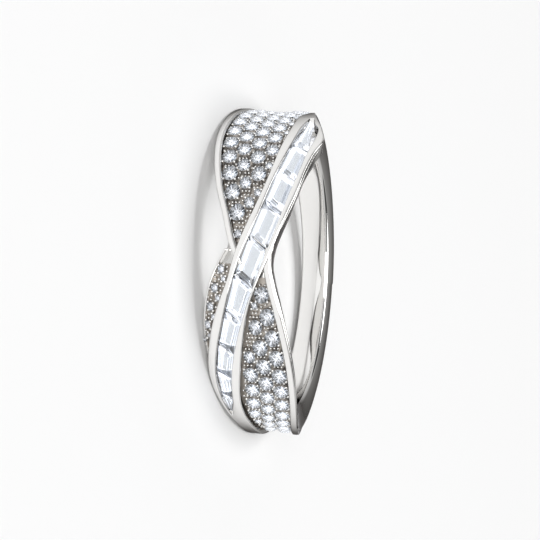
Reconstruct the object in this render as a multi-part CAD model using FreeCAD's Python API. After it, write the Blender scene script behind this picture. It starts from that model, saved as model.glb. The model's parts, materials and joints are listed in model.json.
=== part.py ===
import FreeCAD
import Part
import math
import os

# Crossover ring, lying on its side as it rests when it is put down.
# It is modelled in the ring's own frame and laid down at the end: there the
# finger axis is Z, an angle is counted round the finger from the crossing
# (positive towards the closed end of the stone channel), and "across" is the
# place along the finger axis. All sizes are millimetres, all angles degrees.

BORE_RADIUS = 8.25
BORE_STOCK = 0.10
BORE_REACH = 10

EDGE_CHAMFER = 0.12
BORE_CHAMFER = 0.22
WALL_LEAN = 0.30
SHANK_HALF_WIDTH = 0.90

RAIL_HEIGHT = 0.23
RAIL_WIDTH = 0.44
RAIL_DEPTH = 0.56
RAIL_ROUND = 0.08
RAIL_FADE_START = 84
RAIL_FADE = 19.8
FINE_RAIL_WIDTH = 0.14
FINE_RAIL_HEIGHT = 0.10

CHANNEL_DEPTH = 1.05
CHANNEL_RAIL_HEIGHT = 0.29
CHANNEL_FLOOR = 9.62
JOINT_GAP = 0.035
JOINT_SLANT = 0.60
BAGUETTE_SIDE_GAP = 0.04
BAGUETTE_GIRDLE = 10.14
BAGUETTE_STEP = 0.13
STEPS_ACROSS = 7

STONE_ACROSS = 0.94
STONE_ALONG = 1.08
STONE_SIDES = 8
STONE_PITCH = 7.6
COLUMN_PITCH = 0.89
FIRST_COLUMN = 0.94
CROWN_HEIGHT = 0.15
GIRDLE_HEIGHT = 0.03
PAVILION_DEPTH = 0.38
TABLE_SHARE = 0.56
STONE_SINK = 0.02
STONE_LIFT = 0.06
SEAT_GAP = 0.03
SEAT_DEPTH = 0.46
SEAT_RISE = 0.35
STONE_CLEARANCE = 0.05
STONE_GAP = 0.10
STONE_FILL = 0.95
SMALLEST_STONE = 0.36
RIM_MARGIN = 0.25
CHANNEL_CLOSE = 9

MESH_STEP = 0.01

# Outline of the hoop. left and right are its two edges across the finger,
# left_radius is how high the left edge stands, shoulder is where the sloping
# left flank reaches the plate, and dip is how far the middle of the plate
# falls between its two ribbons.
HOOP_COLUMNS = ("angle", "left", "left_radius", "shoulder", "right", "plate", "dip")
HOOP = (
    (-180, -0.97, 9.72, -0.85, 0.97, 9.82, 0.00),
    (-150, -0.98, 9.73, -0.86, 0.98, 9.83, 0.00),
    (-126, -1.04, 9.78, -0.92, 1.04, 9.88, 0.00),
    (-105, -1.25, 9.88, -1.13, 1.22, 9.98, 0.08),
    (-90, -1.52, 9.95, -1.40, 1.52, 10.05, 0.16),
    (-75, -1.84, 9.95, -1.72, 1.96, 10.05, 0.16),
    (-60, -2.16, 9.95, -2.04, 2.42, 10.05, 0.10),
    (-48, -2.50, 9.92, -2.36, 2.66, 10.05, 0.04),
    (-38, -2.68, 9.62, -2.40, 2.68, 10.05, 0.00),
    (-28, -2.86, 9.42, -2.16, 2.50, 10.05, 0.00),
    (-18, -2.74, 9.42, -1.72, 2.14, 10.05, 0.00),
    (-9, -2.44, 9.42, -1.26, 1.70, 10.02, 0.00),
    (-2, -1.98, 9.46, -1.00, 1.44, 10.00, 0.00),
    (5, -1.40, 9.80, -1.16, 1.60, 10.02, 0.00),
    (12, -1.62, 9.93, -1.48, 2.02, 10.05, 0.00),
    (20, -2.08, 9.95, -1.96, 2.50, 10.05, 0.00),
    (28, -2.54, 9.95, -2.42, 2.80, 10.05, 0.00),
    (38, -2.96, 9.95, -2.84, 3.13, 10.05, 0.00),
    (48, -3.18, 9.95, -3.06, 3.50, 10.05, 0.04),
    (56, -3.24, 9.95, -3.12, 3.04, 10.05, 0.10),
    (68, -3.22, 9.95, -3.10, 2.20, 10.05, 0.16),
    (79, -3.08, 9.95, -2.96, 1.74, 10.05, 0.16),
    (91, -2.66, 9.95, -2.54, 1.42, 10.03, 0.12),
    (105, -1.95, 9.88, -1.83, 1.20, 9.98, 0.06),
    (126, -1.22, 9.78, -1.10, 1.05, 9.88, 0.00),
    (150, -1.00, 9.73, -0.88, 0.98, 9.83, 0.00),
    (180, -0.97, 9.72, -0.85, 0.97, 9.82, 0.00),
)

# The stone channel that crosses from the lower left to the upper right: the
# outer faces of its two rails and the two walls of its groove.
CHANNEL_COLUMNS = ("angle", "left", "groove_left", "groove_right", "right")
CHANNEL = (
    (-108, -1.10, -0.95, -0.80, -0.60),
    (-98, -1.36, -1.12, -0.92, -0.62),
    (-86, -1.62, -1.30, -1.10, -0.68),
    (-74, -1.78, -1.48, -1.28, -0.78),
    (-64, -2.00, -1.78, -1.68, -0.90),
    (-56, -2.27, -2.00, -1.44, -0.89),
    (-48, -2.50, -2.11, -1.30, -0.73),
    (-40, -2.56, -2.07, -1.08, -0.50),
    (-32, -2.40, -1.84, -0.76, -0.27),
    (-24, -2.11, -1.50, -0.36, -0.02),
    (-16, -1.68, -1.16, 0.10, 0.28),
    (-8, -1.18, -0.82, 0.57, 0.76),
    (0, -0.84, -0.42, 1.04, 1.36),
    (8, -0.40, 0.10, 1.50, 1.84),
    (16, 0.10, 0.55, 1.90, 2.28),
    (24, 0.50, 0.90, 2.23, 2.70),
    (32, 0.78, 1.22, 2.54, 2.92),
    (40, 0.94, 1.52, 2.74, 3.22),
    (47, 1.08, 1.72, 2.96, 3.56),
    (54, 1.20, 1.84, 2.94, 3.22),
    (59, 1.24, 1.98, 2.52, 2.86),
    (64, 1.27, 2.12, 2.30, 2.47),
    (67, 1.44, 2.16, 2.22, 2.26),
    (69.5, 1.74, 2.10, 2.14, 2.08),
)

# Angles at the middle of the channel where one stone meets the next.
JOINTS = (-62.5, -53.5, -43.2, -32.7, -20.6, -8.0, 5.3, 18.2, 30.2, 43.5, 61.0)

# Outer edge of the rail that borders the upper stone field on its left.
LOBE_RAIL_COLUMNS = ("angle", "edge", "width")
LOBE_RAIL = (
    (-3, -0.46, 0.30),
    (1, -0.88, 0.42),
    (6, -1.26, 0.44),
    (14, -1.70, 0.44),
    (24, -2.34, 0.44),
    (36, -2.89, 0.44),
    (48, -3.20, 0.44),
    (60, -3.26, 0.44),
    (72, -3.20, 0.44),
    (84, -2.94, 0.44),
    (96, -2.44, 0.42),
    (108, -1.84, 0.36),
)

# Rings of a long stone from its table down to its keel: by how many steps a
# ring is set in from the girdle, and how high it lies over the girdle.
BAGUETTE_RINGS = (
    (2.0, 0.150),
    (1.0, 0.105),
    (0.0, 0.000),
    (0.0, -0.030),
    (1.4, -0.252),
    (2.6, -0.420),
)

# Bodies that follow the hoop: first angle, last angle and the steps between.
RUNS = {
    "front": (-126, 126, 42),
    "back": (126, 234, 14),
    "bar": (-107, 69.5, 36),
    "groove": (-63.5, 62.0, 24),
    "lobe rail": (-2.5, 107, 18),
    "low rail": (-107, -3, 17),
    "flank rail": (-37, 3, 10),
}

# Fields of round stones: how many columns, and the angles they lie between.
UPPER_FIELD = (6, 8.0, 88.0)
LOWER_FIELD = (5, -88.6, -4.0)

# Two staggered rows of small stones on the sloping left flank: how far up the
# slope, the angles of the first and the last stone, and their size.
FLANK_ROWS = (
    (0.36, -31.5, -4.0, 0.62),
    (0.72, -28.1, -2.0, 0.60),
)
FLANK_PITCH = 6.8

# The three places of the left side that the ring stands on when it lies down,
# and how far the rail there stands out past the edge.
REST_CONTACTS = (
    ("lobe", 75, RAIL_ROUND / 2),
    ("hoop", -33.5, RAIL_ROUND / 4),
    ("hoop", -150, 0),
)


def table_value(columns, rows, name, angle):
    """Smooth value of one column of a table at an angle between its rows."""
    place = columns.index(name)
    first = 0
    while first < len(rows) - 2 and rows[first + 1][0] < angle:
        first += 1
    near = [rows[max(0, min(len(rows) - 1, first + step))] for step in (-1, 0, 1, 2)]
    low = near[1]
    high = near[2]
    span = high[0] - low[0]
    share = (angle - low[0]) / span
    before = (high[place] - near[0][place]) / (high[0] - near[0][0])
    after = (near[3][place] - low[place]) / (near[3][0] - low[0])
    square = share * share
    cube = square * share
    return (
        low[place] * (2 * cube - 3 * square + 1)
        + high[place] * (3 * square - 2 * cube)
        + span * before * (cube - 2 * square + share)
        + span * after * (cube - square)
    )


def hoop_value(name, angle):
    return table_value(HOOP_COLUMNS, HOOP, name, angle)


def channel_value(name, angle):
    return table_value(CHANNEL_COLUMNS, CHANNEL, name, angle)


def lobe_edge(angle):
    return table_value(LOBE_RAIL_COLUMNS, LOBE_RAIL, "edge", angle)


def low_edge(angle):
    return hoop_value("right", angle)


def ring_point(angle, radius, across):
    turn = math.radians(angle)
    return FreeCAD.Vector(-radius * math.sin(turn), -radius * math.cos(turn), across)


def section(angle, corners):
    """Closed wire through (radius, across) corners in the half plane at an angle."""
    points = [ring_point(angle, radius, across) for radius, across in corners]
    return Part.makePolygon(points + points[:1])


def loft(run, corners_at):
    """Solid through evenly spaced sections of a run."""
    start, end, count = RUNS[run]
    angles = [start + (end - start) * step / count for step in range(count + 1)]
    return Part.makeLoft([section(angle, corners_at(angle)) for angle in angles], True, False)


def hoop_corners(angle):
    if angle > 180:
        angle -= 360
    left = hoop_value("left", angle)
    shoulder = hoop_value("shoulder", angle)
    right = hoop_value("right", angle)
    plate = hoop_value("plate", angle)
    left_foot = left - WALL_LEAN * (left + SHANK_HALF_WIDTH)
    right_foot = right - WALL_LEAN * (right - SHANK_HALF_WIDTH)
    return (
        (BORE_RADIUS - BORE_STOCK, left_foot + BORE_CHAMFER),
        (BORE_RADIUS - BORE_STOCK, right_foot - BORE_CHAMFER),
        (BORE_RADIUS + BORE_CHAMFER, right_foot),
        (plate - EDGE_CHAMFER, right),
        (plate, right - EDGE_CHAMFER),
        (plate - hoop_value("dip", angle), (shoulder + right) / 2),
        (plate, shoulder),
        (hoop_value("left_radius", angle), left),
        (BORE_RADIUS + BORE_CHAMFER, left_foot),
    )


def make_hoop():
    front = loft("front", hoop_corners)
    back = loft("back", hoop_corners)
    finger = Part.makeCylinder(BORE_RADIUS, 2 * BORE_REACH, FreeCAD.Vector(0, 0, -BORE_REACH))
    return front.fuse(back).cut(finger)


def rail_fade(angle):
    """1 along the stones, falling below 0 where a rail runs out into the shank."""
    past = max(0, abs(angle) - RAIL_FADE_START) / RAIL_FADE
    return math.cos(math.pi / 2 * past)


def rail_top(angle, height):
    return hoop_value("plate", angle) + height * rail_fade(angle)


def channel_bar_corners(angle):
    top = rail_top(angle, CHANNEL_RAIL_HEIGHT)
    left = channel_value("left", angle)
    right = channel_value("right", angle)
    inset = min(EDGE_CHAMFER, (right - left) / 4)
    return (
        (top - CHANNEL_DEPTH, left + inset),
        (top - CHANNEL_DEPTH, right - 2 * inset),
        (top - EDGE_CHAMFER, right),
        (top, right - inset),
        (top, left + inset),
        (top - EDGE_CHAMFER, left),
    )


def channel_groove_corners(angle):
    left = channel_value("groove_left", angle)
    right = channel_value("groove_right", angle)
    top = BAGUETTE_GIRDLE + CHANNEL_DEPTH
    return (
        (CHANNEL_FLOOR, left),
        (CHANNEL_FLOOR, right),
        (top, right),
        (top, left),
    )


def rail_corners(edge, width, top, inward):
    """Rail with a rounded top. inward is +1 for a left rail and -1 for a right one."""
    proud = edge - inward * RAIL_ROUND / 2
    return (
        (top - RAIL_DEPTH, edge + inward * 2 * RAIL_ROUND),
        (top - 2 * RAIL_ROUND, proud),
        (top - RAIL_ROUND, proud),
        (top, edge + inward * RAIL_ROUND),
        (top, edge + inward * (width - RAIL_ROUND)),
        (top - RAIL_ROUND, edge + inward * width),
        (top - RAIL_DEPTH, edge + inward * width),
    )


def lobe_rail_corners(angle):
    width = table_value(LOBE_RAIL_COLUMNS, LOBE_RAIL, "width", angle)
    sunk = RAIL_ROUND * (1 - rail_fade(angle))
    return rail_corners(lobe_edge(angle) + sunk, width, rail_top(angle, RAIL_HEIGHT), 1)


def low_rail_corners(angle):
    sunk = RAIL_ROUND * (1 - rail_fade(angle))
    return rail_corners(low_edge(angle) - sunk, RAIL_WIDTH, rail_top(angle, RAIL_HEIGHT), -1)


def flank_rail_corners(angle):
    edge = hoop_value("left", angle)
    foot = hoop_value("left_radius", angle)
    return (
        (foot - RAIL_ROUND, edge - RAIL_ROUND / 4),
        (foot + FINE_RAIL_HEIGHT, edge),
        (foot + FINE_RAIL_HEIGHT, edge + FINE_RAIL_WIDTH),
        (foot - 2 * RAIL_ROUND, edge + 2 * FINE_RAIL_WIDTH),
    )


def stone_frame(angle, radius, across, lean):
    """Origin and axes (across, along, outward) of a stone seat on the ring."""
    turn = math.radians(angle)
    tilt = math.radians(lean)
    outward = FreeCAD.Vector(-math.sin(turn), -math.cos(turn), 0)
    along = FreeCAD.Vector(-math.cos(turn), math.sin(turn), 0)
    side = FreeCAD.Vector(0, 0, 1)
    normal = outward * math.cos(tilt) - side * math.sin(tilt)
    sideways = side * math.cos(tilt) + outward * math.sin(tilt)
    return ring_point(angle, radius, across), sideways, along, normal


def oval_points(frame, half_across, half_along, height):
    origin, sideways, along, normal = frame
    points = []
    for side in range(STONE_SIDES):
        turn = 2 * math.pi * (side + 0.5) / STONE_SIDES
        offset = sideways * (half_across * math.cos(turn)) + along * (half_along * math.sin(turn))
        points.append(origin + offset + normal * height)
    return points


def face(points):
    return Part.Face(Part.makePolygon(points + points[:1]))


def faceted(rings, point=None):
    """Closed solid through rings of points, with a flat top and a flat or pointed foot."""
    faces = [face(rings[0])]
    count = len(rings[0])
    for upper, lower in zip(rings[:-1], rings[1:]):
        for place in range(count):
            after = (place + 1) % count
            faces.append(face([upper[place], upper[after], lower[after]]))
            faces.append(face([upper[place], lower[after], lower[place]]))
    if point is None:
        faces.append(face(rings[-1]))
    else:
        for place in range(count):
            faces.append(face([rings[-1][place], rings[-1][(place + 1) % count], point]))
    solid = Part.Solid(Part.Shell(faces))
    if solid.Volume < 0:
        solid.reverse()
    return solid


def round_stone(frame, scale, lift):
    """Small brilliant: a table, a crown of facets, a thin girdle and a pointed pavilion."""
    across = scale * STONE_ACROSS / 2
    along = scale * STONE_ALONG / 2
    girdle = lift + GIRDLE_HEIGHT
    rings = [
        oval_points(frame, across * TABLE_SHARE, along * TABLE_SHARE, girdle + scale * CROWN_HEIGHT),
        oval_points(frame, across, along, girdle),
        oval_points(frame, across, along, lift),
    ]
    return faceted(rings, frame[0] + frame[3] * (lift - scale * PAVILION_DEPTH))


def stone_seat(frame, scale):
    across = scale * STONE_ACROSS / 2 + SEAT_GAP
    along = scale * STONE_ALONG / 2 + SEAT_GAP
    rings = [
        oval_points(frame, across, along, SEAT_RISE),
        oval_points(frame, across, along, -2 * SEAT_GAP),
        oval_points(frame, across * TABLE_SHARE, along * TABLE_SHARE, -SEAT_DEPTH),
    ]
    return faceted(rings)


def plate_radius_at(angle, across):
    """Height of the plate between its shoulder, its dip and its right edge."""
    shoulder = hoop_value("shoulder", angle)
    middle = (shoulder + hoop_value("right", angle)) / 2
    share = 1 - min(1, abs(across - middle) / (middle - shoulder))
    return hoop_value("plate", angle) - share * hoop_value("dip", angle)


def fitted_scale(room, limit):
    """Size of the stone that the room beside its middle allows, or 0 if it is too small."""
    scale = min(limit, room / (STONE_ACROSS / 2))
    return scale if scale * STONE_ACROSS >= SMALLEST_STONE else 0


def clear_scale(places, angle, across, scale):
    """Size that keeps a stone clear of those placed before it, which fill most of an oval."""
    for other_angle, other_across, other_scale in places:
        sideways = (across - other_across) / STONE_ACROSS
        along = math.radians(angle - other_angle) * hoop_value("plate", angle) / STONE_ALONG
        reach = math.hypot(sideways, along) - STONE_GAP / STONE_ACROSS
        scale = min(scale, 2 * reach / STONE_FILL - other_scale)
    return scale


def field_places(field, edge_at, inward, wall_at):
    """Staggered columns of stones that follow a rail; beside the far wall they are smaller."""
    columns, first_angle, last_angle = field
    places = []
    for column in range(columns):
        near = FIRST_COLUMN + COLUMN_PITCH * column - STONE_ACROSS / 2
        angle = first_angle + STONE_PITCH / 2 * (column % 2)
        while angle < last_angle:
            wall = inward * (wall_at(angle) - edge_at(angle)) - STONE_CLEARANCE
            half = min(STONE_ACROSS, wall - near) / 2
            across = edge_at(angle) + inward * (near + half)
            scale = fitted_scale(half, clear_scale(places, angle, across, 1.0))
            if scale:
                places.append((angle, across, scale))
            angle += STONE_PITCH
    return places


def eased(start, end, share):
    share = max(0.0, min(1.0, share))
    return start + (end - start) * share


def lobe_wall(angle):
    """Left face of the channel, and past its closed end the right edge of the hoop."""
    closed = RUNS["groove"][1]
    past = (angle - closed) / CHANNEL_CLOSE
    return eased(channel_value("left", min(angle, closed)), low_edge(angle) - RIM_MARGIN, past)


def low_wall(angle):
    """Right face of the channel bar, which runs on beside the lower field."""
    return channel_value("right", angle)


def lobe_places():
    return field_places(UPPER_FIELD, lobe_edge, 1, lobe_wall)


def low_places():
    return field_places(LOWER_FIELD, low_edge, -1, low_wall)


def field_frames(places):
    frames = []
    for angle, across, scale in places:
        radius = plate_radius_at(angle, across) - STONE_SINK
        frames.append((stone_frame(angle, radius, across, 0), scale))
    return frames


def flank_scale(frames, origin, scale):
    """Size that keeps a stone of the flank clear of those placed before it."""
    for frame, other_scale in frames:
        reach = (origin - frame[0]).Length - STONE_GAP
        scale = min(scale, 2 * reach / STONE_ALONG - other_scale)
    return scale


def flank_frames():
    """Stones on the slope between the hoop's left edge and the plate."""
    frames = []
    for share, first_angle, last_angle, size in FLANK_ROWS:
        angle = first_angle
        while angle <= last_angle:
            left = hoop_value("left", angle)
            low = hoop_value("left_radius", angle)
            run = hoop_value("shoulder", angle) - left
            rise = hoop_value("plate", angle) - low
            room = min(share, 1 - share) * math.hypot(run, rise)
            lean = math.degrees(math.atan2(rise, run))
            frame = stone_frame(angle, low + rise * share - STONE_SINK, left + run * share, lean)
            scale = fitted_scale(room + STONE_CLEARANCE, flank_scale(frames, frame[0], size))
            if scale:
                frames.append((frame, scale))
            angle += FLANK_PITCH
    return frames


def channel_point(angle, side, inset, height):
    """Point in the channel at the left (-1) or right (+1) wall, set in by a distance."""
    gap = BAGUETTE_SIDE_GAP + inset
    left = channel_value("groove_left", angle) + gap
    right = channel_value("groove_right", angle) - gap
    across = left if side < 0 else right
    if left > right:
        across = (left + right) / 2 + side * SEAT_GAP
    return ring_point(angle, height, across)


def joint_angle(middle_angle, side, inset):
    """Angle at which a slanting joint meets one wall of the channel."""
    half = (channel_value("groove_right", middle_angle) - channel_value("groove_left", middle_angle)) / 2
    return middle_angle - math.degrees(side * max(half - inset, 0) * JOINT_SLANT / BAGUETTE_GIRDLE)


def baguette_corners(low, high, inset, height):
    trim = math.degrees((JOINT_GAP + inset) / BAGUETTE_GIRDLE)
    corners = []
    for middle_angle, side, shift in ((low, -1, trim), (low, 1, trim), (high, 1, -trim), (high, -1, -trim)):
        angle = joint_angle(middle_angle, side, inset) + shift
        corners.append(channel_point(angle, side, inset, height))
    centre = (corners[0] + corners[1] + corners[2] + corners[3]) * 0.25
    normal = (corners[2] - corners[0]).cross(corners[3] - corners[1]).normalize()
    return [corner - normal * (corner - centre).dot(normal) for corner in corners]


def baguette(low, high):
    """Step cut stone between two joints: a table, two crown steps and two pavilion steps."""
    middle = (low + high) / 2
    width = channel_value("groove_right", middle) - channel_value("groove_left", middle)
    step = min(BAGUETTE_STEP, width / STEPS_ACROSS)
    rings = []
    for steps_in, height in BAGUETTE_RINGS:
        rings.append(baguette_corners(low, high, steps_in * step, BAGUETTE_GIRDLE + height))
    return faceted(rings)


def make_mount(seats):
    bar = loft("bar", channel_bar_corners)
    lobe_rail = loft("lobe rail", lobe_rail_corners)
    low_rail = loft("low rail", low_rail_corners)
    flank_rail = loft("flank rail", flank_rail_corners)
    groove = loft("groove", channel_groove_corners)
    metal = make_hoop().fuse([bar, lobe_rail, low_rail, flank_rail])
    return metal.cut(groove).cut(Part.makeCompound(seats))


def resting_placement(shape):
    """Turn that lays the ring on its left side, then a move that centres its foot."""
    contacts = []
    for edge, angle, proud in REST_CONTACTS:
        if edge == "lobe":
            radius = rail_top(angle, RAIL_HEIGHT) - RAIL_ROUND
            contacts.append(ring_point(angle, radius, lobe_edge(angle) - proud))
        else:
            radius = hoop_value("left_radius", angle)
            contacts.append(ring_point(angle, radius, hoop_value("left", angle) - proud))
    normal = (contacts[1] - contacts[0]).cross(contacts[2] - contacts[0])
    if normal.z < 0:
        normal = normal * -1
    turn = FreeCAD.Placement(FreeCAD.Vector(), FreeCAD.Rotation(normal, FreeCAD.Vector(0, 0, 1)))
    laid = shape.copy()
    laid.transformShape(turn.toMatrix(), True)
    box = FreeCAD.BoundBox()
    for point in laid.tessellate(MESH_STEP)[0]:
        box.add(point)
    foot = FreeCAD.Vector(-(box.XMin + box.XMax) / 2, -(box.YMin + box.YMax) / 2, -box.ZMin)
    return FreeCAD.Placement(foot, FreeCAD.Rotation()).multiply(turn)


def write(name, shape, placement):
    laid = shape.copy()
    laid.transformShape(placement.toMatrix(), True)
    laid.exportStep("parts/%s.step" % name)
    box = laid.BoundBox
    print("%-13s %3d valid %s volume %.2f x %.3f %.3f y %.3f %.3f z %.3f %.3f" % (
        name, len(laid.Solids), laid.isValid(), laid.Volume,
        box.XMin, box.XMax, box.YMin, box.YMax, box.ZMin, box.ZMax))


def main():
    os.makedirs("parts", exist_ok=True)
    fields = (
        ("upper_pave", field_frames(lobe_places()), STONE_LIFT),
        ("lower_pave", field_frames(low_places()), STONE_LIFT),
        ("side_pave", flank_frames(), 0),
    )
    seats = [stone_seat(frame, scale) for name, frames, lift in fields for frame, scale in frames]
    mount = make_mount(seats)
    placement = resting_placement(mount)
    centre = placement.multVec(FreeCAD.Vector())
    axis = placement.Rotation.multVec(FreeCAD.Vector(0, 0, 1))
    crossing = placement.Rotation.multVec(FreeCAD.Vector(0, -1, 0))
    print("bore centre %.4f %.4f %.4f" % tuple(centre))
    print("bore axis %.5f %.5f %.5f" % tuple(axis))
    print("crossing direction %.5f %.5f %.5f" % tuple(crossing))
    write("band", mount, placement)
    for name, frames, lift in fields:
        stones = [round_stone(frame, scale, lift) for frame, scale in frames]
        write(name, Part.makeCompound(stones), placement)
    for number, (low, high) in enumerate(zip(JOINTS[:-1], JOINTS[1:]), 1):
        write("baguette_%02d" % number, baguette(low, high), placement)


main()
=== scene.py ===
import json
import math

import bmesh
import bpy
from mathutils import Matrix, Vector


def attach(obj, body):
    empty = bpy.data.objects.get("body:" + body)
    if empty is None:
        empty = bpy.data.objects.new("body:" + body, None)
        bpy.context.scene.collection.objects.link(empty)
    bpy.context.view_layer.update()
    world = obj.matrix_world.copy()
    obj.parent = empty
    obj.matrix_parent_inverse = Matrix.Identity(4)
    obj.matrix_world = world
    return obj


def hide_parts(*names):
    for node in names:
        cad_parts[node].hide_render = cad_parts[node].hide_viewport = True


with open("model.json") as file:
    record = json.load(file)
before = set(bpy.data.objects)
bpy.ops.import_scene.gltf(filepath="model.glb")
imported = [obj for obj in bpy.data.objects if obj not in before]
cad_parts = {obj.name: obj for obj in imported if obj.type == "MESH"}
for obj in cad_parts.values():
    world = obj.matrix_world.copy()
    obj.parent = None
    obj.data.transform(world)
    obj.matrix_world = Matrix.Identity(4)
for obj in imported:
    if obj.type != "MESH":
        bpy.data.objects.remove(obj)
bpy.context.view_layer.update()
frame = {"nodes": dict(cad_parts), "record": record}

# ---- Hoop ----
# The hoop is cast in 18 carat white gold: a plain narrow back that widens to a plate at
# the front, with a sloping flank left of the crossing. It is filed, polished and rhodium
# plated, and its plate is cut down for the round stones and the channel.

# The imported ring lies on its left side. All sizes are given in millimetres in the ring's
# own frame, which the finger hole's mount lays down: an angle round the finger counted
# from the crossing, a radius, and a place across the ring, along the finger axis.
MM = 0.001
bore = frame["record"]["mounts"][0]
BORE_CENTRE = Vector(bore["pos_m"])
LAID_DOWN = Vector((0, 0, 1)).rotation_difference(Vector(bore["axis"])).to_matrix()

BORE_RADIUS = 8.25
BACK_HALF_WIDTH = 0.90
FOOT_SLOPE = 0.30
SEAT_DEPTH = 0.24
FLANK_DEPTH = 0.16
TRENCH_FLOOR = 9.80
TRENCH_PLAY = 0.06
HOOP_STEP = 0.75
CORNER_STEPS = 4

# Angles at which the stones' seats, the flank, the groove of the channel and the trench
# below it run out.
SEATS_END = 91
FLANK_ENDS = (-42, 5)
GROOVE_ENDS = (-64, 62.5)
TRENCH_ENDS = (-100, 69)

# Left side and its radius, upper edge of the flank, right side, radius of the plate and
# how far it dips between its rails, at an angle round the finger.
HOOP_COLUMNS = ("angle", "left", "left_radius", "shoulder", "right", "plate", "dip")
HOOP = (
    (-180, -0.97, 9.72, -0.85, 0.97, 9.82, 0.00),
    (-150, -0.98, 9.73, -0.86, 0.98, 9.83, 0.00),
    (-126, -1.04, 9.78, -0.92, 1.04, 9.88, 0.00),
    (-105, -1.25, 9.88, -1.13, 1.22, 9.98, 0.08),
    (-90, -1.52, 9.95, -1.40, 1.52, 10.05, 0.16),
    (-75, -1.84, 9.95, -1.72, 1.96, 10.05, 0.16),
    (-60, -2.16, 9.95, -2.04, 2.42, 10.05, 0.10),
    (-48, -2.50, 9.92, -2.36, 2.66, 10.05, 0.04),
    (-38, -2.68, 9.62, -2.40, 2.68, 10.05, 0.00),
    (-28, -2.86, 9.42, -2.16, 2.50, 10.05, 0.00),
    (-18, -2.74, 9.42, -1.72, 2.14, 10.05, 0.00),
    (-9, -2.44, 9.42, -1.26, 1.70, 10.02, 0.00),
    (-2, -1.98, 9.46, -1.00, 1.44, 10.00, 0.00),
    (5, -1.40, 9.80, -1.16, 1.60, 10.02, 0.00),
    (12, -1.62, 9.93, -1.48, 2.02, 10.05, 0.00),
    (20, -2.08, 9.95, -1.96, 2.50, 10.05, 0.00),
    (28, -2.54, 9.95, -2.42, 2.80, 10.05, 0.00),
    (38, -2.96, 9.95, -2.84, 3.13, 10.05, 0.00),
    (48, -3.18, 9.95, -3.06, 3.50, 10.05, 0.04),
    (56, -3.24, 9.95, -3.12, 3.04, 10.05, 0.10),
    (68, -3.22, 9.95, -3.10, 2.20, 10.05, 0.16),
    (79, -3.08, 9.95, -2.96, 1.74, 10.05, 0.16),
    (91, -2.66, 9.95, -2.54, 1.42, 10.03, 0.12),
    (105, -1.95, 9.88, -1.83, 1.20, 9.98, 0.06),
    (126, -1.22, 9.78, -1.10, 1.05, 9.88, 0.00),
    (150, -1.00, 9.73, -0.88, 0.98, 9.83, 0.00),
    (180, -0.97, 9.72, -0.85, 0.97, 9.82, 0.00),
)

# Outer sides of the channel's two rails and sides of the groove between them.
CHANNEL_COLUMNS = ("angle", "left", "groove_left", "groove_right", "right")
CHANNEL = (
    (-108, -1.10, -0.95, -0.80, -0.60),
    (-98, -1.36, -1.12, -0.92, -0.62),
    (-86, -1.62, -1.30, -1.10, -0.68),
    (-74, -1.78, -1.48, -1.28, -0.78),
    (-64, -2.00, -1.78, -1.68, -0.90),
    (-56, -2.27, -2.00, -1.44, -0.89),
    (-48, -2.50, -2.11, -1.30, -0.73),
    (-40, -2.56, -2.07, -1.08, -0.50),
    (-32, -2.40, -1.84, -0.76, -0.27),
    (-24, -2.11, -1.50, -0.36, -0.02),
    (-16, -1.68, -1.16, 0.10, 0.28),
    (-8, -1.18, -0.82, 0.57, 0.76),
    (0, -0.84, -0.42, 1.04, 1.36),
    (8, -0.40, 0.10, 1.50, 1.84),
    (16, 0.10, 0.55, 1.90, 2.28),
    (24, 0.50, 0.90, 2.23, 2.70),
    (32, 0.78, 1.22, 2.54, 2.92),
    (40, 0.94, 1.52, 2.74, 3.22),
    (47, 1.08, 1.72, 2.96, 3.56),
    (54, 1.20, 1.84, 2.94, 3.22),
    (59, 1.24, 1.98, 2.52, 2.86),
    (64, 1.27, 2.12, 2.30, 2.47),
    (67, 1.44, 2.16, 2.22, 2.26),
    (69.5, 1.74, 2.10, 2.14, 2.08),
)

# Strips of the hoop's skin that are cut for round stones and take the seats' darker grey
# of painted shade, in the lower field, the upper field and the flank: the first polygon round
# the section from the finger hole, the one past the last, and the two angles between
# which they are cut.
SEATS = (
    (14, 23, -91.5, -7),
    (38, 47, 5, 91.5),
    (45, 51, -38, -2.5),
)


def ring_point(angle, radius, across):
    """Point of the scene for a place on the ring, whose sizes are in millimetres."""
    turn = math.radians(angle)
    point = Vector((-radius * math.sin(turn), -radius * math.cos(turn), across)) * MM
    return BORE_CENTRE + LAID_DOWN @ point


def table_value(columns, rows, name, angle):
    """Smooth value of one column of a table at an angle between its rows."""
    place = columns.index(name)
    first = 0
    while first < len(rows) - 2 and rows[first + 1][0] < angle:
        first += 1
    near = [rows[max(0, min(len(rows) - 1, first + step))] for step in (-1, 0, 1, 2)]
    low, high = near[1], near[2]
    span = high[0] - low[0]
    share = (angle - low[0]) / span
    before = (high[place] - near[0][place]) / (high[0] - near[0][0])
    after = (near[3][place] - low[place]) / (near[3][0] - low[0])
    square, cube = share * share, share ** 3
    return (low[place] * (2 * cube - 3 * square + 1)
            + high[place] * (3 * square - 2 * cube)
            + span * before * (cube - 2 * square + share)
            + span * after * (cube - square))


def hoop_value(name, angle):
    return table_value(HOOP_COLUMNS, HOOP, name, angle)


def channel_value(name, angle):
    return table_value(CHANNEL_COLUMNS, CHANNEL, name, angle)


def clamped(value):
    return min(1, max(0, value))


def groove_share(angle):
    """1 where the channel's groove is open, and 0 past its two closed ends."""
    low, high = GROOVE_ENDS
    return min(clamped((high - angle) / 2.5), clamped((angle - low) / 2.5))


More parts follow.
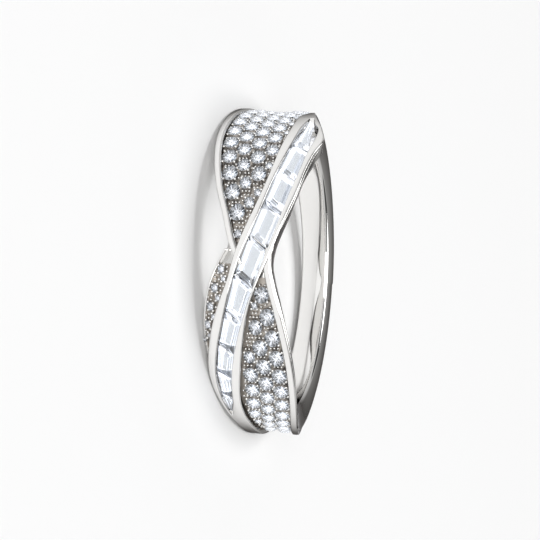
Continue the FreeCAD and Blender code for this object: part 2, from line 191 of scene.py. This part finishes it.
def hoop_profile(angle):
    """Section of the hoop, from the finger hole round by the right side."""
    left, right = hoop_value("left", angle), hoop_value("right", angle)
    shoulder, plate = hoop_value("shoulder", angle), hoop_value("plate", angle)
    dip = hoop_value("dip", angle)
    # The upper field's seats lie left of the channel, and the lower field's right of it.
    upper = clamped((angle + 3) / 6)
    lower = 1 - upper
    flank = (FLANK_DEPTH * clamped((FLANK_ENDS[1] - angle) / 4)
             * clamped((angle - FLANK_ENDS[0]) / 4))
    cut = SEAT_DEPTH * clamped((SEATS_END - abs(angle)) / 1.5)
    left_plate, right_plate = plate - cut * upper, plate - cut * lower
    # The sides lean in towards the finger hole.
    left_foot = left - FOOT_SLOPE * (left + BACK_HALF_WIDTH)
    right_foot = right - FOOT_SLOPE * (right - BACK_HALF_WIDTH)
    # The trench below the channel's groove, kept inside the hoop's sides.
    near = min(TRENCH_ENDS[1], max(TRENCH_ENDS[0], angle))
    trench_right = min(channel_value("groove_right", near) + TRENCH_PLAY, right - 0.25)
    trench_left = min(channel_value("groove_left", near) - TRENCH_PLAY, trench_right - 0.1)
    trench_left = max(trench_left, shoulder + 0.12)
    trench_floor = plate - 0.3 - groove_share(angle) * (plate - TRENCH_FLOOR)
    return (
        (BORE_RADIUS, left_foot + 0.05, 0.22),
        (BORE_RADIUS, right_foot - 0.05, 0.22),
        (right_plate, right - 0.03 * lower, 0.12),
        (right_plate - dip * lower, (trench_right + right) / 2, 0.30),
        (right_plate, trench_right, 0.01),
        (trench_floor, trench_right, 0.01),
        (trench_floor, trench_left, 0.01),
        (left_plate, trench_left, 0.01),
        (left_plate - dip * upper, (trench_left + shoulder) / 2, 0.30),
        (left_plate - flank, shoulder, 0.08),
        (hoop_value("left_radius", angle) - cut * 0.8 * upper - flank, left + 0.04, 0.08),
    )


def rounded(corners):
    """Closed profile: each (radius, across, fillet) corner is replaced by a small arc."""
    profile = []
    for place, (radius, across, fillet) in enumerate(corners):
        here = Vector((radius, across))
        before = Vector(corners[place - 1][:2]) - here
        after = Vector(corners[(place + 1) % len(corners)][:2]) - here
        reach = min(fillet, before.length * 0.45, after.length * 0.45)
        start, end = here + before.normalized() * reach, here + after.normalized() * reach
        for step in range(CORNER_STEPS + 1):
            t = step / CORNER_STEPS
            profile.append(start * (1 - t) ** 2 + here * 2 * t * (1 - t) + end * t ** 2)
    return profile


def steps(start, end, size):
    """Angles from start to end, as near to the given step as fits."""
    count = max(2, round((end - start) / size))
    return [start + (end - start) * place / count for place in range(count + 1)]


def as_object(name, mesh, smooth):
    data = bpy.data.meshes.new(name)
    mesh.to_mesh(data)
    mesh.free()
    for polygon in data.polygons:
        polygon.use_smooth = smooth
    made = bpy.data.objects.new(name, data)
    bpy.context.scene.collection.objects.link(made)
    if smooth:
        made.modifiers.new("even shading", "WEIGHTED_NORMAL").keep_sharp = True
    return made


def sweep(name, angles, corners_at, closed=False):
    """Smooth skin through a rounded profile at each angle."""
    mesh = bmesh.new()
    rows = []
    for angle in angles:
        profile = rounded(corners_at(angle))
        rows.append([mesh.verts.new(ring_point(angle, p[0], p[1])) for p in profile])
    pairs = list(zip(rows[:-1], rows[1:]))
    if closed:
        pairs.append((rows[-1], rows[0]))
    for low, high in pairs:
        for place in range(len(low)):
            after = (place + 1) % len(low)
            mesh.faces.new((low[place], low[after], high[after], high[place]))
    if not closed:
        mesh.faces.new(rows[0])
        mesh.faces.new(list(reversed(rows[-1])))
    bmesh.ops.recalc_face_normals(mesh, faces=mesh.faces)
    return as_object(name, mesh, True)


def linear(code):
    """Blender's linear colour for an sRGB hex code."""
    parts = [int(code[place:place + 2], 16) / 255 for place in (0, 2, 4)]
    return [part / 12.92 if part <= 0.04045 else ((part + 0.055) / 1.055) ** 2.4
            for part in parts] + [1]


def new_material(name):
    material = bpy.data.materials.new(name)
    material.use_nodes = True
    return material, material.node_tree.nodes["Principled BSDF"]


# White gold, polished and rhodium plated: a near white mirror that shows the room in
# long light and dark bands. The dark tint at grazing angles gives its rims thin grey
# lines against the pale background.
gold, shader = new_material("white_gold_polished")
shader.inputs["Base Color"].default_value = linear("f4f3f1")
shader.inputs["Metallic"].default_value = 1
shader.inputs["Roughness"].default_value = 0.04
shader.inputs["Specular Tint"].default_value = linear("5c5a59")

# The same gold on the seats cut for the stones, with a satin finish and a darker,
# slightly warm grey: the darker grey is painted shade between the stones, which sets the
# clear stones off.
seat_shade_gold, shader = new_material("white_gold_seats_painted_shade")
shader.inputs["Base Color"].default_value = linear("bdb6ae")
shader.inputs["Metallic"].default_value = 1
shader.inputs["Roughness"].default_value = 0.30


def finish_metal(piece):
    """Polished gold as the piece's material, and the piece hung on the only body."""
    piece.data.materials.append(gold)
    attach(piece, "root")


hoop = sweep("hoop", steps(-180, 180 - HOOP_STEP, HOOP_STEP), hoop_profile, closed=True)
finish_metal(hoop)
# Second material: the seats' darker grey, painted shade between the stones.
hoop.data.materials.append(seat_shade_gold)
section_points = len(hoop_profile(0)) * (CORNER_STEPS + 1)
for polygon in hoop.data.polygons:
    station, place = divmod(polygon.index, section_points)
    angle = -180 + HOOP_STEP * (station + 0.5)
    for first, past_last, from_angle, to_angle in SEATS:
        if first <= place < past_last and from_angle < angle < to_angle:
            polygon.material_index = 1
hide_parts("band")
packed_band = frame["nodes"]["band"].data
packed_band.materials.clear()
packed_band.materials.append(gold)

# ---- Rail of the upper field ----
# A rounded rail of polished gold stands along the outer edge of the field above the
# crossing. It is left standing when the plate is cut down, and keeps the stones in.
RAIL_HEIGHT = 0.23
RAIL_WIDTH = 0.44
RAIL_DEPTH = 0.56
RAIL_FILLET = 0.15
RAIL_STEP = 0.75
LOBE_RAIL_COLUMNS = ("angle", "edge", "width")
LOBE_RAIL = (
    (-3, -0.46, 0.30),
    (1, -0.88, 0.42),
    (6, -1.26, 0.44),
    (14, -1.70, 0.44),
    (24, -2.34, 0.44),
    (36, -2.89, 0.44),
    (48, -3.20, 0.44),
    (60, -3.26, 0.44),
    (72, -3.20, 0.44),
    (84, -2.94, 0.44),
    (96, -2.44, 0.42),
    (108, -1.84, 0.36),
)


def rail_fade(angle):
    """1 along the fields, then less, so that the rails run out into the plain back."""
    past = max(0, abs(angle) - 84) / 22
    return math.cos(math.pi * past / 1.8)


def rail_top(angle, height):
    return hoop_value("plate", angle) + height * rail_fade(angle)


def rail_sunk(angle):
    """How far a rail draws in from the edge where it runs out."""
    return 0.08 * (1 - rail_fade(angle))


def rail_profile(edge, width, top, inward):
    """Section of a rail on an edge; inward is 1 on the left edge and -1 on the right."""
    return (
        (top - RAIL_DEPTH, edge + inward * 0.16, 0.05),
        (top, edge - inward * 0.04, RAIL_FILLET),
        (top, edge + inward * width, RAIL_FILLET),
        (top - RAIL_DEPTH, edge + inward * width, 0.02),
    )


def lobe_edge(angle):
    return table_value(LOBE_RAIL_COLUMNS, LOBE_RAIL, "edge", angle)


def lobe_rail_profile(angle):
    width = table_value(LOBE_RAIL_COLUMNS, LOBE_RAIL, "width", angle)
    return rail_profile(lobe_edge(angle) + rail_sunk(angle), width,
                        rail_top(angle, RAIL_HEIGHT), 1)


lobe_rail = sweep("lobe_rail", steps(-2.5, 107, RAIL_STEP), lobe_rail_profile)
finish_metal(lobe_rail)

# ---- Rail of the lower field ----
# The same rail stands along the right edge of the field below the crossing. It follows
# the hoop's own edge and also runs out into the back.


def low_rail_profile(angle):
    return rail_profile(hoop_value("right", angle) - rail_sunk(angle), RAIL_WIDTH,
                        rail_top(angle, RAIL_HEIGHT), -1)


low_rail = sweep("low_rail", steps(-107, 3.5, RAIL_STEP), low_rail_profile)
finish_metal(low_rail)

# ---- Fine rail of the flank ----
# A thin edge of polished gold closes the sloping flank at its lower side, beside the
# two rows of small stones.


def flank_rail_profile(angle):
    edge, foot = hoop_value("left", angle), hoop_value("left_radius", angle)
    return (
        (foot - 0.10, edge - 0.02, 0.05),
        (foot + 0.10, edge, 0.05),
        (foot + 0.10, edge + 0.14, 0.05),
        (foot - 0.16, edge + 0.28, 0.05),
    )


flank_rail = sweep("flank_rail", steps(-37, 3, RAIL_STEP), flank_rail_profile)
finish_metal(flank_rail)

# ---- Channel ----
# The channel crosses the front from the lower left to the upper right: two polished
# rails of gold with closed ends, soldered on the plate. The long stones sit between
# them, and the rails' inner edges hold them.
CHANNEL_HEIGHT = 0.29
CHANNEL_DEPTH = 1.05
GROOVE_FLOOR = 9.62
CHANNEL_FILLET = 0.13
GROOVE_FILLET = 0.09
CHANNEL_STEP = 0.5


def channel_profile(angle):
    top = rail_top(angle, CHANNEL_HEIGHT)
    foot = top - CHANNEL_DEPTH
    floor_radius = top - groove_share(angle) * (top - GROOVE_FLOOR)
    left, right = channel_value("left", angle), channel_value("right", angle)
    groove_left = channel_value("groove_left", angle)
    groove_right = channel_value("groove_right", angle)
    return (
        (foot, left + 0.12, 0.05),
        (top, left, CHANNEL_FILLET),
        (top, groove_left, GROOVE_FILLET),
        (floor_radius, groove_left + 0.02, 0.02),
        (floor_radius, groove_right - 0.02, 0.02),
        (top, groove_right, GROOVE_FILLET),
        (top, right, CHANNEL_FILLET),
        (foot, right - 0.24, 0.05),
    )


channel = sweep("channel_rails", steps(-107, 69.5, CHANNEL_STEP), channel_profile)
finish_metal(channel)

# ---- Round stones ----
# The fields above and below the crossing and the flank are set with clear stones near
# 1 mm across, cut as round brilliants. Each sits in its own seat and is held by grains
# raised from the metal round it.

# Sizes of a brilliant as shares of the half width of its girdle.
TABLE, STARS, HALVES = 0.57, 0.79, 0.24
TABLE_HEIGHT, STAR_HEIGHT, GIRDLE = 0.40, 0.22, 0.06
HALVES_DEPTH, CULET_DEPTH = 0.41, 0.56

# The flank's stones are drawn smaller and further up the slope, because they would
# otherwise reach below the surface that the ring lies on.
FLANK_SHARE = 0.88
FLANK_SHIFT = 0.06

AXIS = Vector(bore["axis"]).normalized()

# Cut and polished diamond: clear, and so strongly refracting that its crown breaks the
# light of the undersides into small patches.
diamond, shader = new_material("diamond_cut")
shader.inputs["Base Color"].default_value = linear("fbfdff")
shader.inputs["Roughness"].default_value = 0.0
shader.inputs["IOR"].default_value = 2.417
shader.inputs["Transmission Weight"].default_value = 1

# The undersides of the stones are drawn as small mirrors in three painted tones: a painted
# highlight and a softer painted half light, which glow with a weak light of their own in
# place of the many inner reflections, and a darker painted shade without glow.
painted_pavilion_facets = []
for name, code, painted_glow in (
        ("diamond_pavilion_painted_highlight", "f8faff", 0.50),
        ("diamond_pavilion_painted_half_light", "d4d8dd", 0.15),
        ("diamond_pavilion_painted_shade", "7f868f", 0.0)):
    facet, shader = new_material(name)
    shader.inputs["Base Color"].default_value = linear(code)
    shader.inputs["Metallic"].default_value = 1
    shader.inputs["Roughness"].default_value = 0.05
    shader.inputs["Emission Color"].default_value = linear(code)
    shader.inputs["Emission Strength"].default_value = painted_glow
    painted_pavilion_facets.append(facet)
stone_materials = [diamond] + painted_pavilion_facets
# Faces of the stones: the clear crown, then the painted highlight, painted half light and
# painted shade of the undersides.
CROWN, PAINTED_HIGHLIGHT, PAINTED_HALF_LIGHT, PAINTED_SHADE = range(4)


def loose_solids(name):
    """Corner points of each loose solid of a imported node, always in the same order."""
    mesh = bmesh.new()
    mesh.from_mesh(frame["nodes"][name].data)
    bmesh.ops.remove_doubles(mesh, verts=mesh.verts, dist=1e-7)
    seen, found = set(), []
    for start in mesh.verts:
        if start in seen:
            continue
        seen.add(start)
        front, solid = [start], []
        while front:
            here = front.pop()
            solid.append(here.co.copy())
            for edge in here.link_edges:
                other = edge.other_vert(here)
                if other not in seen:
                    seen.add(other)
                    front.append(other)
        found.append(solid)
    mesh.free()
    return found


def stone_axes(points):
    """Girdle centre, axes and half sizes of one packed round stone."""
    middle = sum(points, Vector()) / len(points)
    outward = middle - BORE_CENTRE
    outward -= AXIS * AXIS.dot(outward)
    culet = min(points, key=lambda point: point.dot(outward))
    normal = (middle - culet).normalized()
    for repeat in range(3):
        top = max((point - culet).dot(normal) for point in points)
        table = [point for point in points if (point - culet).dot(normal) > top * 0.97]
        normal = (sum(table, Vector()) / len(table) - culet).normalized()
    sideways = (AXIS - normal * AXIS.dot(normal)).normalized()
    along = normal.cross(sideways)
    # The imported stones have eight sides, with flats towards both axes.
    flat = math.cos(math.pi / 8)
    wide = max(abs((point - culet).dot(sideways)) for point in points) / flat
    tall = max(abs((point - culet).dot(along)) for point in points) / flat
    heights = sorted((point - culet).dot(normal) for point in points)
    return culet + normal * heights[4], sideways, along, normal, wide, tall


def add_brilliant(mesh, axes):
    """Round brilliant: table, stars, kites, halves, thin girdle and the pavilion below."""
    centre, sideways, along, normal, wide, tall = axes

    def ring(share, height, first):
        made = []
        for place in range(8):
            turn = math.pi / 4 * (place + first)
            offset = (sideways * (share * wide * math.cos(turn))
                      + along * (share * tall * math.sin(turn)))
            made.append(mesh.verts.new(centre + offset + normal * (height * wide)))
        return made

    table, stars = ring(TABLE, TABLE_HEIGHT, 0.5), ring(STARS, STAR_HEIGHT, 0)
    high_a, high_b = ring(1.0, GIRDLE, 0.5), ring(1.0, GIRDLE, 0)
    low_a, low_b = ring(1.0, 0.0, 0.5), ring(1.0, 0.0, 0)
    halves = ring(HALVES, -HALVES_DEPTH, 0)
    culet = mesh.verts.new(centre - normal * (CULET_DEPTH * wide))
    mesh.faces.new(table)
    for k in range(8):
        n, b = (k + 1) % 8, k - 1
        for corners in (
                (table[b], table[k], stars[k]),
                (table[k], stars[k], high_a[k], stars[n]),
                (stars[k], high_a[b], high_b[k]),
                (stars[k], high_b[k], high_a[k]),
                (high_a[b], low_a[b], low_b[k], high_b[k]),
                (high_b[k], low_b[k], low_a[k], high_a[k])):
            mesh.faces.new(corners).material_index = CROWN
        # The lower halves take the painted half light and the painted shade in turn, and the
        # kites at the culet the painted highlight.
        first_half = mesh.faces.new((halves[k], low_a[b], low_b[k]))
        second_half = mesh.faces.new((halves[k], low_b[k], low_a[k]))
        kite = mesh.faces.new((halves[k], low_a[k], halves[n], culet))
        first_half.material_index = (PAINTED_HALF_LIGHT, PAINTED_SHADE)[k % 2]
        second_half.material_index = (PAINTED_SHADE, PAINTED_HALF_LIGHT)[k % 2]
        kite.material_index = PAINTED_HIGHLIGHT


def pave_field(name, share=1.0, shift=0.0):
    """Brilliants in place of a packed field, made smaller and moved up the slope if asked."""
    mesh = bmesh.new()
    stones = []
    for points in loose_solids(name):
        centre, sideways, along, normal, wide, tall = stone_axes(points)
        centre = centre + sideways * (shift * MM)
        stones.append((centre, sideways, along, normal, wide * share, tall * share))
    for axes in stones:
        add_brilliant(mesh, axes)
    bmesh.ops.recalc_face_normals(mesh, faces=mesh.faces)
    made = as_object(name + "_brilliants", mesh, False)
    for material in stone_materials:
        made.data.materials.append(material)
    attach(made, "root")
    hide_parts(name)
    return stones


pave_stones = pave_field("upper_pave")
pave_stones += pave_field("lower_pave")
pave_stones += pave_field("side_pave", FLANK_SHARE, FLANK_SHIFT)

# ---- Beads and grains ----
# Each round stone is held by four small beads, which the setter raises from the plate
# with a graver and rounds with a beading tool. Smaller grains of the same gold fill
# what is left of the plate between the stones and the rails.
BEAD_RADIUS, BEAD_GAP, BEAD_REACH, BEAD_SINK = 0.095, 0.17, 0.05, 0.03
GRAIN_RADIUS, GRAIN_GAP, GRAIN_REACH = 0.08, 0.21, 0.09
GRAIN_STEP_ANGLE, GRAIN_STEP_ACROSS = 0.75, 0.11
WALL_GAP = 0.12
FLANK_EDGE = 0.16
PLATE_SINK, FLANK_SINK = 0.08, 0.09

bead_mesh = bmesh.new()
placed = []


def add_bead(place, radius, gap):
    """Raised grain of metal, left out where another one already stands."""
    if all((place - other).length > gap * MM for other in placed):
        placed.append(place)
        bmesh.ops.create_icosphere(bead_mesh, subdivisions=2, radius=radius * MM,
                                   matrix=Matrix.Translation(place))


def ring_place(point):
    """Angle round the finger and place across it of a point on the ring."""
    local = LAID_DOWN.transposed() @ (point - BORE_CENTRE)
    return math.degrees(math.atan2(-local.x, -local.y)), local.z / MM


for centre, sideways, along, normal, wide, tall in pave_stones:
    for corner in range(4):
        turn = math.pi / 4 + math.pi / 2 * corner
        offset = (sideways * (wide + BEAD_REACH * MM) * math.cos(turn)
                  + along * (tall + BEAD_REACH * MM) * math.sin(turn))
        place = centre + offset - normal * BEAD_SINK * MM
        angle, across = ring_place(place)
        if across > hoop_value("left", angle) + FLANK_EDGE:
            add_bead(place, BEAD_RADIUS, BEAD_GAP)


def clear_of_stones(place):
    for centre, sideways, along, normal, wide, tall in pave_stones:
        reach = place - centre
        aside = reach.dot(sideways) / (wide + GRAIN_REACH * MM)
        ahead = reach.dot(along) / (tall + GRAIN_REACH * MM)
        if math.hypot(aside, ahead) < 1:
            return False
    return True


def fill_field(first, last, low_at, high_at, radius_at):
    """Small grains between the stones of a field, from wall to wall."""
    angle = first
    while angle < last:
        low, high = low_at(angle) + WALL_GAP, high_at(angle) - WALL_GAP
        across = low + GRAIN_STEP_ACROSS * (round(angle / (2 * GRAIN_STEP_ANGLE)) % 2)
        while across < high:
            place = ring_point(angle, radius_at(angle, across), across)
            if clear_of_stones(place):
                add_bead(place, GRAIN_RADIUS, GRAIN_GAP)
            across += GRAIN_STEP_ACROSS
        angle += GRAIN_STEP_ANGLE


def plate_radius(angle, across):
    return hoop_value("plate", angle) - PLATE_SINK


def upper_field_left(angle):
    return lobe_edge(angle) + RAIL_WIDTH


def upper_field_right(angle):
    return min(channel_value("left", min(angle, 66)), hoop_value("right", angle) - 0.2)


def lower_field_left(angle):
    return channel_value("right", angle)


def lower_field_right(angle):
    return hoop_value("right", angle) - RAIL_WIDTH


def flank_radius(angle, across):
    left, low = hoop_value("left", angle), hoop_value("left_radius", angle)
    share = (across - left) / (hoop_value("shoulder", angle) - left)
    return low + (hoop_value("plate", angle) - low) * share - FLANK_SINK


def flank_left(angle):
    return hoop_value("left", angle) + 0.05


def flank_right(angle):
    return min(hoop_value("shoulder", angle), channel_value("left", angle))


fill_field(6, 88, upper_field_left, upper_field_right, plate_radius)
fill_field(-88, -8, lower_field_left, lower_field_right, plate_radius)
fill_field(-35, -3, flank_left, flank_right, flank_radius)
beads = as_object("beads", bead_mesh, True)
finish_metal(beads)

# ---- Channel stones ----
# Ten long stones of the same clear material, step cut, stand side by side in the
# channel, and the rails' edges hold their ends. They are the imported solids themselves,
# and their facets take the clear material or one of the three painted tones: the flat
# underside the painted half light, the lower side facets the painted highlight and the
# lower end facets the painted shade.
CHANNEL_STONES = 10
FLAT_BELOW, FACING_DOWN = -0.95, -0.15
END_FACET = 0.5

for number in range(1, CHANNEL_STONES + 1):
    stone = frame["nodes"]["baguette_%02d" % number].data
    stone.materials.clear()
    for material in stone_materials:
        stone.materials.append(material)
    middle = sum((vertex.co for vertex in stone.vertices), Vector()) / len(stone.vertices)
    outward = middle - BORE_CENTRE
    outward = (outward - AXIS * AXIS.dot(outward)).normalized()
    reaches = [vertex.co - middle for vertex in stone.vertices]
    far = max(reaches, key=lambda reach: reach.length)
    along = (far - outward * far.dot(outward)).normalized()
    # Facets facing down take painted highlight, half light or shade by their direction.
    for polygon in stone.polygons:
        polygon.use_smooth = False
        polygon.material_index = CROWN
        facing = polygon.normal.dot(outward)
        if facing < FLAT_BELOW:
            polygon.material_index = PAINTED_HALF_LIGHT
        elif facing < FACING_DOWN:
            at_end = abs(polygon.normal.dot(along)) > END_FACET
            polygon.material_index = PAINTED_SHADE if at_end else PAINTED_HIGHLIGHT

# ---- Floor ----
# A sheet of matt white paper, on which the ring lies for the picture.
FLOOR_HALF_WIDTH = 1.5

# Uncoated paper: an even pale surface without gloss, which takes a soft shadow.
paper, shader = new_material("white_paper_floor")
shader.inputs["Base Color"].default_value = linear("f4f4f4")
shader.inputs["Roughness"].default_value = 0.9
sheet = bmesh.new()
bmesh.ops.create_grid(sheet, x_segments=2, y_segments=2, size=FLOOR_HALF_WIDTH)
floor = as_object("floor", sheet, False)
floor.data.materials.append(paper)

# ---- Studio ----
# A pale room with two soft boxes, one in front of the ring and one above it. The
# polished metal needs something dark to reflect, so the room's light drops between
# the walls and the ceiling.
ROOM_STRENGTH = 0.62

# Grey of the room by the height of the direction, from -1 straight down to 1 straight up.
ROOM_STOPS = ((0.52, 1.0), (0.60, 0.10), (0.86, 0.10), (0.92, 1.0))


def node(tree_owner, kind, settings=None, links=None):
    """Adds a shader node with its settings and its links from other sockets."""
    made = tree_owner.node_tree.nodes.new(kind)
    for name, value in (settings or {}).items():
        if hasattr(made, name):
            setattr(made, name, value)
        else:
            made.inputs[name].default_value = value
    for name, socket in (links or {}).items():
        tree_owner.node_tree.links.new(socket, made.inputs[name])
    return made


world = bpy.data.worlds.new("studio")
bpy.context.scene.world = world
world.use_nodes = True
direction = node(world, "ShaderNodeTexCoord").outputs["Generated"]
axes = node(world, "ShaderNodeSeparateXYZ", {}, {"Vector": direction})
height = node(world, "ShaderNodeMapRange", {"From Min": -1.0, "From Max": 1.0},
              {"Value": axes.outputs["Z"]})
room = node(world, "ShaderNodeValToRGB", {}, {"Fac": height.outputs["Result"]})
elements = room.color_ramp.elements
elements[0].color = elements[1].color = (1, 1, 1, 1)
for stop, grey in ROOM_STOPS:
    elements.new((stop + 1) / 2).color = (grey, grey, grey, 1)
background = world.node_tree.nodes["Background"]
world.node_tree.links.new(room.outputs["Color"], background.inputs["Color"])
background.inputs["Strength"].default_value = ROOM_STRENGTH
bpy.context.scene.view_settings.view_transform = "Standard"


def soft_box(name, place, size, power):
    light = bpy.data.lights.new(name, "AREA")
    light.shape = "RECTANGLE"
    light.size, light.size_y = size
    light.energy = power
    made = bpy.data.objects.new(name, light)
    bpy.context.scene.collection.objects.link(made)
    made.location = place
    facing = BORE_CENTRE - Vector(place)
    made.rotation_euler = facing.to_track_quat("-Z", "Y").to_euler()


# Places and sizes in metres, powers in watts.
soft_box("front_box", (0.05, -0.55, 0.30), (0.45, 0.40), 1.6)
soft_box("top_box", (0.0, 0.10, 0.50), (0.40, 0.40), 1.75)

# ---- Camera ----
# The photograph's own view of the ring, rolled so that the finger axis points to the
# right of the picture. Its angles are those of the upright ring, in degrees.
AZIMUTH, ELEVATION, TURN = math.radians(13.63), math.radians(10.15), math.radians(14.8)
CAMERA_DISTANCE = 150
PIXELS_PER_MM = 15.762
PICTURE = 540
SHIFT_PIXELS = (-15.8, 1.9)
SENSOR = 36

ca, sa = math.cos(AZIMUTH), math.sin(AZIMUTH)
ce, se = math.cos(ELEVATION), math.sin(ELEVATION)
ct, st = math.cos(TURN), math.sin(TURN)
towards = LAID_DOWN @ Vector((ca * ce * st - se * ct, -ca * ce * ct - se * st, sa * ce))
right = LAID_DOWN @ Vector((-sa * st, sa * ct, ca))
up = towards.cross(right)
camera = bpy.data.objects.new("camera", bpy.data.cameras.new("camera"))
bpy.context.scene.collection.objects.link(camera)
camera.matrix_world = Matrix((
    (right.x, up.x, towards.x, 0),
    (right.y, up.y, towards.y, 0),
    (right.z, up.z, towards.z, 0),
    (0, 0, 0, 1)))
camera.location = BORE_CENTRE + towards * CAMERA_DISTANCE * MM
camera.data.sensor_width = SENSOR
camera.data.lens = SENSOR * PIXELS_PER_MM * CAMERA_DISTANCE / PICTURE
camera.data.shift_x = SHIFT_PIXELS[0] / PICTURE
camera.data.shift_y = SHIFT_PIXELS[1] / PICTURE
camera.data.clip_start = 0.01
bpy.context.scene.camera = camera
